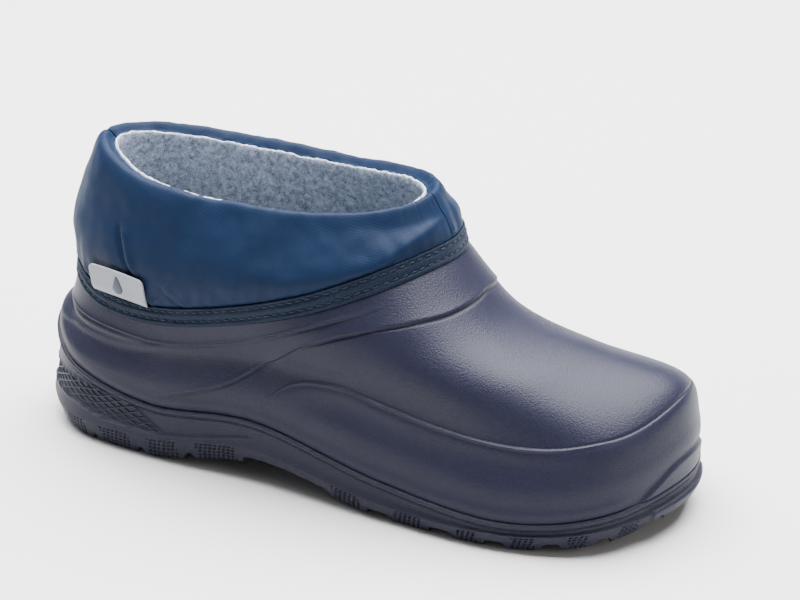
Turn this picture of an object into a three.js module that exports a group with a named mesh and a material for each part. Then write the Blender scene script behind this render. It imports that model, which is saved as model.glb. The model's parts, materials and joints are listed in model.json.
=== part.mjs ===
// Insulated garden clog, right foot. Millimetres, +X towards the toe, +Y towards the big-toe side, +Z up.
// The ground is z = 0 and the outline is centred on x = 0.
//
// Every layer follows closed loops that run once round the foot. A loop has nine stations on each side,
// from the back of the heel (0) over the ball (6) to the tip of the toe (8), and the two sides share the
// first and the last one. Lateral is the little-toe side (-Y), medial the big-toe side (+Y).
import * as THREE from 'three';
import { mergeVertices } from 'three/addons/utils/BufferGeometryUtils.js';

// ---- driving dimensions ------------------------------------------------------------------------
const STATIONS = 8;            // steps from heel to toe on one side
const COLUMNS = 56;            // facets round the foot
const GAP = 0.3;               // clearance between two touching pieces

const OUTLINE = {              // widest line of the sole
  x: [-140.5, -134, -114, -76, -28, 30, 84, 123.5, 140.5],
  lateral: [0, -21, -37, -43, -44, -51, -53, -37, 6],
  medial: [0, 21, 36, 41, 39, 45, 52, 44, 6],
};
const GROUND_Z = [6.5, 4, 0, 0, 7, 0, 0, 3.5, 7.5];            // lug faces: arch lifted, toe sprung
const SOLE_EDGE_Z = [13, 11, 9, 10, 15, 8, 7, 11, 13.5];    // widest line of the sole wall
const WELT_Z = [44, 39, 31, 24.5, 27.5, 17.5, 12.5, 17, 21];  // top of the sole wall
const RIDGE_Z = [53, 50, 45, 45, 52, 49, 41, 47, 56];     // shoulder between side wall and vamp
const RIDGE_INSET = [9.5, 8.5, 6, 4, 3.5, 6, 8, 8.5, 12];
const VAMP_LOW = {             // swell of the vamp a third of the way up from the shoulder
  lateral: [0, 0, 0, 0, 0, 2, 4, -1, -6],
  medial: [0, 0, 0, 0, 0, -1, -4, -7, -6],
};
const VAMP_HIGH = {            // the same, two thirds of the way up
  lateral: [0, 0, 0, 0, 0, 2, 2, -5, -12],
  medial: [0, 0, 0, 0, 0, -2, -6, -11, -12],
};
const TOP_LINE = {             // edge of the moulded upper, where the collar is sewn on
  x: [-128, -121.5, -103, -72, -36, -3, 23, 37, 42],
  lateral: [0, -19, -32, -39, -42.5, -43, -35, -19, 0],
  medial: [0, 19, 31, 37, 39.5, 40, 33, 18, 0],
  z: [68, 64, 58.5, 59.5, 68, 79, 90, 95, 96],
};
const COLLAR_BULGE = {         // fullest line of the padded collar
  x: [-129.5, -122, -102, -70, -36, -3, 22, 36, 40],
  lateral: [0, -19, -33, -41.5, -44.5, -42.5, -33, -18.5, 0],
  medial: [0, 19, 32.5, 39.5, 42, 40, 31, 17.5, 0],
  z: [93, 90, 86, 84, 88, 95, 102, 107, 109],
};
const FELT_LINE = {            // where the nylon roll meets the felt inside the opening
  x: [-112, -105, -88.5, -65, -39.5, -13, 9, 21.5, 26],
  lateral: [0, -11.5, -20, -24.5, -25.5, -25, -20.5, -11.5, 0],
  medial: [0, 12, 21.5, 26.5, 27.5, 26.5, 22, 12, 0],
  z: [120, 118, 113.5, 111.5, 111.5, 112, 114.5, 116, 117.5],
  zMedial: [120, 119, 116.5, 114.5, 113.5, 113.5, 115.5, 117, 117.5],
};
const ROLL_TOP = { out: 4.5, up: 3.2 };    // crest of the rolled rim, from the felt line
const ROLL_SIDE = { out: 9, up: -3 };      // outer side of the rolled rim

const LUG_DEPTH = 3.2;
const LUG_REACH = 20;          // inward length of an edge lug
const LUG_CHANNEL = 3;         // channel between edge lugs and centre bars
const LUGS = [                 // edge lugs, in stations from heel to toe
  [0, 0.6], [0.85, 1.5], [1.62, 2.2], [2.3, 2.8], [2.9, 3.32], [3.42, 3.87],
  [4.6, 4.9], [5.1, 5.4], [5.6, 5.85], [6.05, 6.35], [6.55, 6.85], [7.05, 7.35], [7.6, 8],
];
const LUG_FLANK = 0.03;        // stations taken by the sloping flank of a lug
const SOLE_WALL = 4;           // thickness of the tray wall
const UPPER_WALL = 5;
const BAND_HEIGHT = 8;         // height of the flange and of the tape
const TAPE_WALL = 1.8;
const FELT_WALL = 3;
const FELT_SOLE = 4;
const NYLON_WALL = 1.2;
const THREAD = 0.8;            // thread diameter
const THREAD_ROWS = [0.3, 0.78];           // heights of the two stitch rows on the tape

const TAB = { station: 2.36, width: 30, height: 12.5, wall: 1, corner: 2.5, lean: 0.16 };
const EMBLEM = { radius: 2.6, height: 8, wall: 0.4 };

// ---- loops ---------------------------------------------------------------------------------------
const both = (lateral, medial = lateral) => [...lateral, ...medial.slice(1, STATIONS).reverse()];

function closedCurve(points) {
  return new THREE.CatmullRomCurve3(points, true, 'catmullrom', 0.5);
}

function stationLoop({ x, lateral, medial, z, zMedial }) {
  const xs = both(x);
  const ys = both(lateral, medial);
  const zs = both(z, zMedial);
  return closedCurve(xs.map((value, i) => new THREE.Vector3(value, ys[i], zs[i])));
}

// A copy of the sole's outline, drawn in by a distance that may vary from station to station.
function insetLoop(distance, heights) {
  const xs = both(OUTLINE.x);
  const ys = both(OUTLINE.lateral, OUTLINE.medial);
  const zs = both(heights);
  const insets = both(Array.isArray(distance) ? distance : OUTLINE.x.map(() => distance));
  const count = xs.length;
  return closedCurve(xs.map((x, i) => {
    const before = (i + count - 1) % count;
    const after = (i + 1) % count;
    const along = new THREE.Vector2(xs[after] - xs[before], ys[after] - ys[before]).normalize();
    return new THREE.Vector3(x - along.y * insets[i], ys[i] + along.x * insets[i], zs[i]);
  }));
}

// Columns are given in stations, 0 to 16, counted down the lateral side and back up the medial one.
const evenColumns = Array.from({ length: COLUMNS }, (_, i) => (i * 2 * STATIONS) / COLUMNS);
const pointsOn = (curve, columns = evenColumns) => columns.map((u) => curve.getPoint(u / (2 * STATIONS)));

// Moves each point of a ring outwards in plan and upwards.
function grow(ring, out, up) {
  return ring.map((point, i) => {
    const before = ring[(i + ring.length - 1) % ring.length];
    const after = ring[(i + 1) % ring.length];
    const along = new THREE.Vector2(after.x - before.x, after.y - before.y).normalize();
    const distance = typeof out === 'number' ? out : out[i];
    const rise = typeof up === 'number' ? up : up[i];
    return new THREE.Vector3(point.x + along.y * distance, point.y - along.x * distance, point.z + rise);
  });
}

const blendRings = (a, b, t) => a.map((point, i) => point.clone().lerp(b[i], t));

function stationValues({ lateral, medial }) {
  const curve = closedCurve(both(lateral, medial).map((value) => new THREE.Vector3(value, 0, 0)));
  return pointsOn(curve).map((point) => point.x);
}

// ---- closed bodies from rings --------------------------------------------------------------------
function body(positions, indices) {
  const raw = new THREE.BufferGeometry();
  raw.setAttribute('position', new THREE.Float32BufferAttribute(positions.flatMap((p) => [p.x, p.y, p.z]), 3));
  const volume = indices.reduce((sum, _, i) => {
    if (i % 3) return sum;
    const [a, b, c] = [positions[indices[i]], positions[indices[i + 1]], positions[indices[i + 2]]];
    return sum + a.dot(b.clone().cross(c));
  }, 0);
  const outward = volume > 0 ? indices : indices.toReversed();
  raw.setIndex(outward);
  const geometry = mergeVertices(raw, 1e-4);
  geometry.computeVertexNormals();
  return geometry;
}

// Stitches a list of rings of the same length into one surface. Each quad is split along its shorter
// diagonal, so that two surfaces that run side by side are split alike.
function ringFaces(rings, closeAround, closeAlong) {
  const count = rings[0].length;
  const points = rings.flat();
  const at = (j, i) => (j % rings.length) * count + (i % count);
  const faces = [];
  for (let j = 0; j < rings.length - (closeAlong ? 0 : 1); j += 1) {
    for (let i = 0; i < count - (closeAround ? 0 : 1); i += 1) {
      const [a, b, c, d] = [at(j, i), at(j, i + 1), at(j + 1, i + 1), at(j + 1, i)];
      if (points[a].distanceTo(points[c]) < points[b].distanceTo(points[d])) {
        faces.push(a, b, c, a, c, d);
      } else {
        faces.push(a, b, d, b, c, d);
      }
    }
  }
  return faces;
}

// A vessel: rings stacked from its underside round its rim to its floor, both ends closed by strips
// that run straight across the foot.
function vessel(rings) {
  const count = rings[0].length;
  const faces = ringFaces(rings, true, false);
  const cap = (offset, flip) => {
    for (let i = 0; i < count / 2; i += 1) {
      const lateral = [offset + i, offset + i + 1];
      const medial = [offset + ((count - i) % count), offset + count - i - 1];
      const strip = [];
      if (i > 0) strip.push([lateral[0], lateral[1], medial[0]]);
      if (i < count / 2 - 1) strip.push([lateral[1], medial[1], medial[0]]);
      strip.forEach(([a, b, c]) => (flip ? faces.push(a, c, b) : faces.push(a, b, c)));
    }
  };
  cap(0, true);
  cap((rings.length - 1) * count, false);
  return body(rings.flat(), faces);
}

// A ring-shaped body whose section is the polygon that the given rings cut.
function hoop(rings) {
  return body(rings.flat(), ringFaces(rings, true, true));
}

// The same section, kept on one side of the foot and closed at its heel and toe ends.
function halfHoop(rings) {
  const count = rings[0].length;
  const faces = ringFaces(rings, false, true);
  const endCap = (column, neighbour, ascending) => {
    const along = rings[0][neighbour].clone().sub(rings[0][column]);
    const across = new THREE.Vector2(along.y, -along.x).normalize();
    const flat = rings.map((ring) => ring[column])
      .map((p) => new THREE.Vector2(p.x * across.x + p.y * across.y, p.z));
    const turn = THREE.ShapeUtils.area(flat) > 0;
    THREE.ShapeUtils.triangulateShape(flat, []).forEach((corners) => {
      const withSection = THREE.ShapeUtils.area(corners.map((j) => flat[j])) > 0 === turn;
      const indices = corners.map((j) => j * count + column);
      faces.push(...(withSection === ascending ? indices : indices.toReversed()));
    });
  };
  endCap(0, 1, true);
  endCap(count - 1, count - 2, false);
  return body(rings.flat(), faces);
}

const SIDES = {                // columns of a half, a hair short of the heel and toe seams
  lateral: Array.from({ length: COLUMNS / 2 + 1 }, (_, i) => (i * 2 * STATIONS) / COLUMNS),
  medial: Array.from({ length: COLUMNS / 2 + 1 }, (_, i) => STATIONS + (i * 2 * STATIONS) / COLUMNS),
};

// Cuts the columns of one side out of full rings and draws its two ends back from the centre seam.
function sideOf(rings, side) {
  const first = Math.round((SIDES[side][0] * COLUMNS) / (2 * STATIONS));
  return rings.map((ring) => SIDES[side].map((_, i) => {
    const point = ring[(first + i) % COLUMNS].clone();
    const inner = ring[(first + Math.min(Math.max(i, 1), COLUMNS / 2 - 1)) % COLUMNS];
    const length = point.distanceTo(inner);
    return length > 0 ? point.lerp(inner, GAP / length) : point;
  }));
}

// ---- surfaces of the foot ------------------------------------------------------------------------
const WALL_ROWS = 12;          // facets up the wall of the upper
const FIRST_INNER_ROW = 3;
const SEAT_GAP = 0.6;          // the upper stands this far clear inside the sole tray
const FLOOR_Z = [12, 11, 10, 10, 17, 10, 9.5, 14, 18];    // floor of the sole tray

const weltRing = pointsOn(insetLoop(1.2, WELT_Z));
const ridgeRing = pointsOn(insetLoop(RIDGE_INSET, RIDGE_Z));
const topRing = pointsOn(stationLoop(TOP_LINE));
const crown = (t, values) => {
  const swell = stationValues(values);
  return grow(blendRings(ridgeRing, topRing, t), swell.map((v) => 0.6 * v), swell.map((v) => 0.8 * v));
};
const wallGuides = [
  grow(weltRing, 0, SEAT_GAP),
  grow(blendRings(weltRing, ridgeRing, 0.5), 2, 0),
  ridgeRing,
  crown(1 / 3, VAMP_LOW),
  crown(2 / 3, VAMP_HIGH),
  topRing,
];

// Rows of points up a wall, each column following a smooth curve through the guide rings.
function rowsThrough(guides, rowCount) {
  const curves = guides[0].map((_, i) => new THREE.CatmullRomCurve3(
    guides.map((ring) => ring[i]), false, 'catmullrom', 0.5));
  return Array.from({ length: rowCount + 1 }, (_, j) => curves.map((curve) => curve.getPoint(j / rowCount)));
}

// Outward normals of a grid of rows that climb from bottom to top.
function outwardNormals(rows) {
  return rows.map((row, j) => row.map((_, i) => {
    const count = row.length;
    const along = row[(i + 1) % count].clone().sub(row[(i + count - 1) % count]);
    const up = rows[Math.min(j + 1, rows.length - 1)][i].clone().sub(rows[Math.max(j - 1, 0)][i]);
    return along.cross(up).normalize();
  }));
}

const offsetRow = (row, normals, distance) => row.map((p, i) => p.clone().addScaledVector(normals[i], distance));

const wallRows = rowsThrough(wallGuides, WALL_ROWS);
const wallNormals = outwardNormals(wallRows);
const wallAt = (row, depth) => offsetRow(wallRows[row], wallNormals[row], -depth);
const innerRows = [];
for (let row = FIRST_INNER_ROW; row <= WALL_ROWS; row += 1) {
  if (row === WALL_ROWS || (WALL_ROWS - row) % 2 === 0 || row === FIRST_INNER_ROW) innerRows.push(row);
}

// Points above the top line, where the flange, the tape and the stitches lie.
const flangeUp = wallRows[WALL_ROWS].map((p, i) => p.clone().sub(wallRows[WALL_ROWS - 1][i]).normalize()
  .multiplyScalar(0.35).add(new THREE.Vector3(0, 0, 0.65)).normalize());
const bandAt = (height, depth) => wallAt(WALL_ROWS, depth)
  .map((p, i) => p.addScaledVector(flangeUp[i], height));

// The padded collar: its skin from the tape over the bulge and the rolled rim to the felt line.
const COLLAR_ROWS = 10;
const feltRing = pointsOn(stationLoop(FELT_LINE));
const collarRows = rowsThrough([
  bandAt(BAND_HEIGHT + GAP, 0.1),
  pointsOn(stationLoop(COLLAR_BULGE)),
  grow(feltRing, ROLL_SIDE.out, ROLL_SIDE.up),
  grow(feltRing, ROLL_TOP.out, ROLL_TOP.up),
  feltRing,
], COLLAR_ROWS);
const collarNormals = outwardNormals(collarRows);
const collarAt = (row, depth) => offsetRow(collarRows[row], collarNormals[row], -depth);
const collarLayer = (depth, from, to) => Array.from(
  { length: to - from + 1 }, (_, j) => collarAt(from + j, depth));

// ---- pieces --------------------------------------------------------------------------------------
function lugColumns() {
  const marks = [];
  LUGS.forEach(([start, end]) => {
    if (start > 0) marks.push({ u: start - LUG_FLANK, face: false });
    marks.push({ u: start, face: true }, { u: (start + end) / 2, face: true }, { u: end, face: true });
    if (end < STATIONS) marks.push({ u: end + LUG_FLANK, face: false });
  });
  for (let i = 1; i < LUGS.length; i += 1) {
    const [from, to] = [LUGS[i - 1][1], LUGS[i][0]];
    const extra = Math.floor((to - from) / 0.25);
    for (let k = 1; k <= extra; k += 1) marks.push({ u: from + ((to - from) * k) / (extra + 1), face: false });
  }
  marks.sort((a, b) => a.u - b.u);
  const medial = marks.slice(1, -1).reverse().map(({ u, face }) => ({ u: 2 * STATIONS - u, face }));
  return [...marks, ...medial];
}

// Foamed sole: a tray with a raised wall, edge lugs all round and bars across the middle.
function outsole() {
  const marks = lugColumns();
  const columns = marks.map(({ u }) => u);
  const loop = (distance, heights) => pointsOn(insetLoop(distance, heights), columns);
  const tread = (distance) => loop(distance, GROUND_Z).map((p, i) => {
    p.z = Math.max(0, p.z) + (marks[i].face ? 0 : LUG_DEPTH);
    return p;
  });
  const roots = (distance) => loop(distance, GROUND_Z).map((p) => {
    p.z = Math.max(0, p.z) + LUG_DEPTH;
    return p;
  });
  const edge = 3.5;
  const flank = 0.6;
  return vessel([
    tread(edge + LUG_REACH + LUG_CHANNEL),
    roots(edge + LUG_REACH + LUG_CHANNEL - flank),
    roots(edge + LUG_REACH + flank),
    tread(edge + LUG_REACH),
    tread(edge),
    loop(0, SOLE_EDGE_Z),
    loop(1, WELT_Z),
    loop(1 + SOLE_WALL, WELT_Z),
    loop(1 + SOLE_WALL, FLOOR_Z),
  ]);
}

const LINING_FOOT = UPPER_WALL + GAP + FELT_SOLE + GAP;     // lower edge of the side linings, above the tray
const raised = (heights, by) => heights.map((z) => z + by);
const seatInset = 1 + SOLE_WALL + SEAT_GAP;

// Moulded upper: a bootie that stands in the tray, with a thinned flange round its opening.
function upper() {
  const floorInset = seatInset + UPPER_WALL - GAP;
  return vessel([
    pointsOn(insetLoop(seatInset, raised(FLOOR_Z, SEAT_GAP))),
    pointsOn(insetLoop(seatInset, raised(WELT_Z, SEAT_GAP))),
    ...wallRows,
    bandAt(0, TAPE_WALL + GAP),
    bandAt(BAND_HEIGHT, TAPE_WALL + GAP),
    bandAt(BAND_HEIGHT, UPPER_WALL),
    ...innerRows.toReversed().map((row) => wallAt(row, UPPER_WALL)),
    pointsOn(insetLoop(floorInset, raised(FLOOR_Z, LINING_FOOT))),
    pointsOn(insetLoop(floorInset, raised(FLOOR_Z, UPPER_WALL))),
  ]);
}

// Felt side of the lining, from the footbed up the wall and the collar to the felt line.
function liningPath(depth, inset) {
  const outside = bandAt(BAND_HEIGHT, depth);
  const top = grow(feltRing, UPPER_WALL + FELT_WALL - depth - 0.8, -1.8);
  return [
    pointsOn(insetLoop(inset, raised(FLOOR_Z, LINING_FOOT))),
    ...innerRows.map((row) => wallAt(row, depth)),
    outside,
    blendRings(outside, top, 0.5),
    top,
  ];
}
const liningOuter = liningPath(UPPER_WALL + GAP, seatInset + UPPER_WALL);
const liningInner = liningPath(UPPER_WALL + GAP + FELT_WALL, seatInset + UPPER_WALL + FELT_WALL);

function liningSide(side) {
  return halfHoop(sideOf([...liningOuter, ...liningInner.toReversed()], side));
}

function liningSole() {
  const inset = seatInset + UPPER_WALL + 1;
  return vessel([
    pointsOn(insetLoop(inset, raised(FLOOR_Z, UPPER_WALL + GAP))),
    pointsOn(insetLoop(inset, raised(FLOOR_Z, UPPER_WALL + GAP + FELT_SOLE))),
  ]);
}

// Nylon panel of one side: seamed to the other at the back and at the front.
function collarPanel(side) {
  const outside = collarLayer(0, 0, COLLAR_ROWS);
  const inside = collarLayer(NYLON_WALL, 0, COLLAR_ROWS).toReversed();
  return halfHoop(sideOf([...outside, ...inside], side));
}

// Soft filling between the nylon and the felt.
function wadding() {
  const skin = NYLON_WALL + GAP;
  const [low, , top] = liningOuter.slice(-3);
  const backing = [0.8, 0.45, 0.1].map((t) => grow(blendRings(low, top, t), 1.2, 0));
  return hoop([...collarLayer(skin, 1, COLLAR_ROWS - 3), ...backing]);
}

// Folded tape that covers the flange.
function bindingTape() {
  return hoop([
    bandAt(GAP, TAPE_WALL),
    bandAt(GAP, 0),
    bandAt(BAND_HEIGHT, 0),
    bandAt(BAND_HEIGHT, TAPE_WALL),
  ]);
}

function stitchRow(level) {
  const height = level * BAND_HEIGHT;
  const radius = THREAD / 2;
  const depth = -GAP - radius;
  return hoop([
    bandAt(height - radius, depth),
    bandAt(height, depth - radius),
    bandAt(height + radius, depth),
    bandAt(height, depth + radius),
  ]);
}

// ---- label tab -----------------------------------------------------------------------------------
function tabShape() {
  const { width, height, corner } = TAB;
  const shape = new THREE.Shape();
  shape.moveTo(-width / 2, 0);
  shape.lineTo(width / 2, 0);
  shape.lineTo(width / 2, height - corner);
  shape.absarc(width / 2 - corner, height - corner, corner, 0, Math.PI / 2, false);
  shape.lineTo(-width / 2 + corner, height);
  shape.absarc(-width / 2 + corner, height - corner, corner, Math.PI / 2, Math.PI, false);
  return shape;
}

// A plain drop: a round foot drawn out to a point.
function dropShape() {
  const { radius, height } = EMBLEM;
  const shape = new THREE.Shape();
  shape.absarc(0, 0, radius, Math.PI * 0.87, Math.PI * 0.13, false);
  shape.quadraticCurveTo(radius * 0.35, radius * 1.3, 0, height - radius);
  shape.quadraticCurveTo(-radius * 0.35, radius * 1.3, radius * Math.cos(Math.PI * 0.87),
    radius * Math.sin(Math.PI * 0.87));
  return shape;
}

// The tab's own frame: X along its sewn edge, Y up the tab, Z away from the collar.
function tabFrame() {
  const column = (TAB.station * COLUMNS) / (2 * STATIONS);
  const edge = closedCurve(bandAt(BAND_HEIGHT + GAP, -0.9));
  const place = edge.getPoint(column / COLUMNS);
  const along = edge.getTangent(column / COLUMNS).normalize();
  const out = along.clone().cross(new THREE.Vector3(0, 0, 1)).normalize();
  const up = out.clone().cross(along).normalize();
  const leaning = up.clone().multiplyScalar(Math.cos(TAB.lean)).addScaledVector(out, Math.sin(TAB.lean));
  const face = along.clone().cross(leaning).normalize();
  return new THREE.Matrix4().makeBasis(along, leaning, face).setPosition(place);
}

// ---- assembly ------------------------------------------------------------------------------------
const finish = (color, roughness) => new THREE.MeshStandardMaterial({ color, roughness, metalness: 0 });
const evaUpper = finish(0x4a4c63, 0.5);
const evaSole = finish(0x45475d, 0.55);
const felt = finish(0x8d9bb0, 0.95);
const nylon = finish(0x2b4460, 0.6);
const fill = finish(0xe6e6e2, 0.95);
const tape = finish(0x263a55, 0.75);
const thread = finish(0x4d6788, 0.6);
const woven = finish(0xb9bac0, 0.7);
const print = finish(0x424a60, 0.6);

const clog = new THREE.Group();
clog.name = 'garden_clog_right';

function add(name, geometry, material, parent = clog) {
  const mesh = new THREE.Mesh(geometry, material);
  mesh.name = name;
  parent.add(mesh);
  return mesh;
}

add('outsole', outsole(), evaSole);
add('upper', upper(), evaUpper);
add('lining_sole', liningSole(), felt);
['lateral', 'medial'].forEach((side) => {
  add(`lining_${side}`, liningSide(side), felt);
  add(`collar_panel_${side}`, collarPanel(side), nylon);
});
add('collar_wadding', wadding(), fill);
add('binding_tape', bindingTape(), tape);
['lower', 'upper'].forEach((level, i) => add(`stitch_row_${level}`, stitchRow(THREAD_ROWS[i]), thread));

const tab = new THREE.Group();
tab.name = 'tab';
tab.applyMatrix4(tabFrame());
clog.add(tab);
const flat = { depth: TAB.wall, bevelEnabled: false, curveSegments: 4 };
add('label_tab', new THREE.ExtrudeGeometry(tabShape(), flat), woven, tab);
const motif = new THREE.ExtrudeGeometry(dropShape(), { ...flat, depth: EMBLEM.wall, curveSegments: 8 });
add('label_emblem', motif, print, tab).position.set(0, EMBLEM.radius + 2.2, TAB.wall + 0.2);

export default clog;
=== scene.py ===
import json
import math

import bpy
import numpy as np
from mathutils import Matrix, Vector, noise


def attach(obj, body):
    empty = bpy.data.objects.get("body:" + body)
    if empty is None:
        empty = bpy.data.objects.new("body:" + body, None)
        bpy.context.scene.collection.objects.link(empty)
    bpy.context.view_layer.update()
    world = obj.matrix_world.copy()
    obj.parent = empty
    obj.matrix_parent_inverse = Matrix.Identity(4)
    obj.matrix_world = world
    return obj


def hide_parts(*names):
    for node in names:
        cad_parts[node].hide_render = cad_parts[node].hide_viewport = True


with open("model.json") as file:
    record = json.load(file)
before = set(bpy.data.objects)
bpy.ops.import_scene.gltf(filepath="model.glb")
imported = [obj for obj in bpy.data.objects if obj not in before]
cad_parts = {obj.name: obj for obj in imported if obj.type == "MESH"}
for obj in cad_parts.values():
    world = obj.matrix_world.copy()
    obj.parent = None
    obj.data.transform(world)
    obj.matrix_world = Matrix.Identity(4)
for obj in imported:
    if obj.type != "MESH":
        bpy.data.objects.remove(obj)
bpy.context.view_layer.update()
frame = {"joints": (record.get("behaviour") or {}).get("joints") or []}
bpy.ops.object.select_all(action="DESELECT")

# ---- outsole -------------------------------------------------------------------------------------
# The sole is a tray of foamed EVA, moulded in one shot with its tread: pitted lugs round the edge, bars
# across the middle, a chain-mesh panel round the heel, a smooth toe bumper and a corded welt on its rim.
MM = 0.001                     # lengths are millimetres, turned to metres in each mesh
# Lists of nine are values at stations from 0 at the heel to 8 at the toe, down the little-toe side (-Y)
# or the same on both sides. The stations go on to 16, back up the big-toe side (+Y).
TOE = 8
OUTLINE_X = [-140.5, -134, -114, -76, -28, 30, 84, 123.5, 140.5]
OUTLINE_LATERAL = [0, -21, -37, -43, -44, -51, -53, -37, 6]
OUTLINE_MEDIAL = [0, 21, 36, 41, 39, 45, 52, 44, 6]
GROUND_Z = [6.5, 4, 0, 0, 7, 0, 0, 3.5, 7.5]
SOLE_EDGE_Z = [13, 11, 9, 10, 15, 8, 7, 11, 13.5]
WELT_Z = [44, 39, 31, 24.5, 27.5, 17.5, 12.5, 17, 21]
FLOOR_Z = [12, 11, 10, 10, 17, 10, 9.5, 14, 18]
LUGS = [(0, 0.6), (0.85, 1.5), (1.62, 2.2), (2.3, 2.8), (2.9, 3.32), (3.42, 3.87), (4.6, 4.9),
        (5.1, 5.4), (5.6, 5.85), (6.05, 6.35), (6.55, 6.85), (7.05, 7.35), (7.6, 8)]
LUG_DEPTH = 3.2
LUG_REACH = 20
LUG_CHANNEL = 3
NOTCH_ROUND = (3.0, 2.5)       # rounding of a notch's heel-ward and toe-ward ends
TREAD_INSET = 3.5              # how far a lug face stands in from the widest line
PIT_DEPTH = 0.7
PIT_STEP = 4                   # columns or rows from one pit to the next, half of them in the pit
PIT_MARGIN = 2.4               # smooth edge of a lug beside its pits
CORD = 1.1                     # radius of the welt cord, and of the stitched piping under it
PIPING = 0.45
SOLE_COLUMNS = 1248
SIDE_ROWS = 20
WALL_ROWS = 24
SEAT = 5                       # inner face of the tray wall, from the outline
MESH_TOP = [(0, 25), (40, 25), (54, 24.5), (64, 24.1), (75.4, 22.2), (86.5, 16.5), (92, 13.4)]
MESH_EDGE = [(0, 16), (41.6, 15.5), (49.6, 14.8), (58.8, 12.9), (68.9, 12.1), (79.6, 11.7),
             (89, 12.1), (107, 14.6), (129, 18.9), (136, 20)]
MESH_CELL = (7.2, 2.9)         # one cell of the chain mesh, along and up
MESH_FRONT = 91                # front end of the mesh panel, round the outline from the heel
MESH_RECESS = 0.8
MESH_LINE = 0.6                # width of the raised lines that border the panel
STRAND = 0.5                   # radius of a strand of the mesh
STRAND_SIDES = 6
STRAND_SAMPLES = 40
STRANDS_EACH_WAY = 28
STRAND_RUN = 4.5               # cells that the longest strand crosses
HEEL_DRAW = [2.2, 2.0, 1.2, 0.3, 0, 0, 0, 0, 0]     # how far the wall leans in towards the welt
BUMPER_START = 7.42
BUMPER_PROUD = 1.1             # how far the toe bumper stands out


def both(lateral, medial=None):
    """The 16 values round the foot, from 9 down one side and 9 down the other."""
    medial = lateral if medial is None else medial
    return np.array(list(lateral) + list(medial[1:TOE])[::-1], float)


def round_foot(values, u):
    """The smooth closed curve through 16 station values or points, at stations u."""
    values = np.asarray(values, float)
    whole = np.floor(u).astype(int)
    t = (u - whole).reshape([-1] + [1] * (values.ndim - 1))
    before, here, after, beyond = (values[(whole + k) % len(values)] for k in (-1, 0, 1, 2))
    return 0.5 * (2 * here + (after - before) * t + (2 * before - 5 * here + 4 * after - beyond) * t**2
                  + (3 * here - before - 3 * after + beyond) * t**3)


def curve_through(points, x):
    """The smooth curve through (x, y) points in order of x, level beyond both ends."""
    px, py = np.array(points, float).T
    slope = np.gradient(py, px)
    x = np.clip(x, px[0], px[-1])
    i = np.clip(np.searchsorted(px, x) - 1, 0, len(px) - 2)
    step = px[i + 1] - px[i]
    t = (x - px[i]) / step
    return ((1 + 2 * t) * (1 - t)**2 * py[i] + t * (1 - t)**2 * step * slope[i]
            + t * t * (3 - 2 * t) * py[i + 1] + t * t * (t - 1) * step * slope[i + 1])


def ease(x, start, end):
    """0 before start, 1 after end, and smooth between them."""
    t = np.clip((x - start) / (end - start), 0, 1)
    return t * t * (3 - 2 * t)


def bead(x, centre, width):
    """A rounded line: 1 at its centre, and fading away to both sides."""
    return np.exp(-((x - centre) / width)**2)


outline = np.stack([both(OUTLINE_X), both(OUTLINE_LATERAL, OUTLINE_MEDIAL)], 1)
along_outline = np.roll(outline, -1, 0) - np.roll(outline, 1, 0)
along_outline /= np.linalg.norm(along_outline, axis=1)[:, None]
inward = np.stack([-along_outline[:, 1], along_outline[:, 0]], 1)


def sole_ring(inset, height, u):
    """A ring that follows the outline, drawn in by inset, at height. Lists give station values."""
    if isinstance(inset, list):
        plan = round_foot(outline + inward * both(inset)[:, None], u)
    else:
        plan = round_foot(outline, u) + round_foot(inward, u) * np.reshape(inset, (-1, 1))
    level = round_foot(both(height), u) if isinstance(height, list) else np.broadcast_to(height, u.shape)
    return np.column_stack([plan, level])


fine = np.linspace(0, 2 * TOE, 6401)
steps = np.linalg.norm(np.diff(round_foot(outline, fine), axis=0), axis=1)
run = np.concatenate([[0], np.cumsum(steps)])        # length round the outline at each fine station
perimeter = run[-1]


def even_stations(count):
    """Stations at equal steps round the outline."""
    return np.interp(np.arange(count) / count * perimeter, run, fine)


def ring_faces(counts, around=True, along=False):
    """Faces between rings stacked from below. A ring may have a multiple of its neighbour's points."""
    starts = np.concatenate([[0], np.cumsum(counts)]).tolist()
    faces = []
    for j in range(len(counts) if along else len(counts) - 1):
        k = (j + 1) % len(counts)
        spans = min(counts[j], counts[k]) - (0 if around else 1)
        below, above = (counts[ring] // spans for ring in (j, k))
        for i in range(spans):
            lower = [starts[j] + (i * below + s) % counts[j] for s in range(below + 1)]
            upper = [starts[k] + (i * above + s) % counts[k] for s in range(above, -1, -1)]
            faces.append(lower + upper)
    return faces


def cap_faces(start, count):
    """Strips straight across the foot that close a ring, facing up."""
    strips = [[start + i, start + i + 1, start + count - i - 1, start + count - i]
              for i in range(1, count // 2 - 1)]
    half = start + count // 2
    return [[start, start + 1, start + count - 1], *strips, [half - 1, half, half + 1]]


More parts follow.
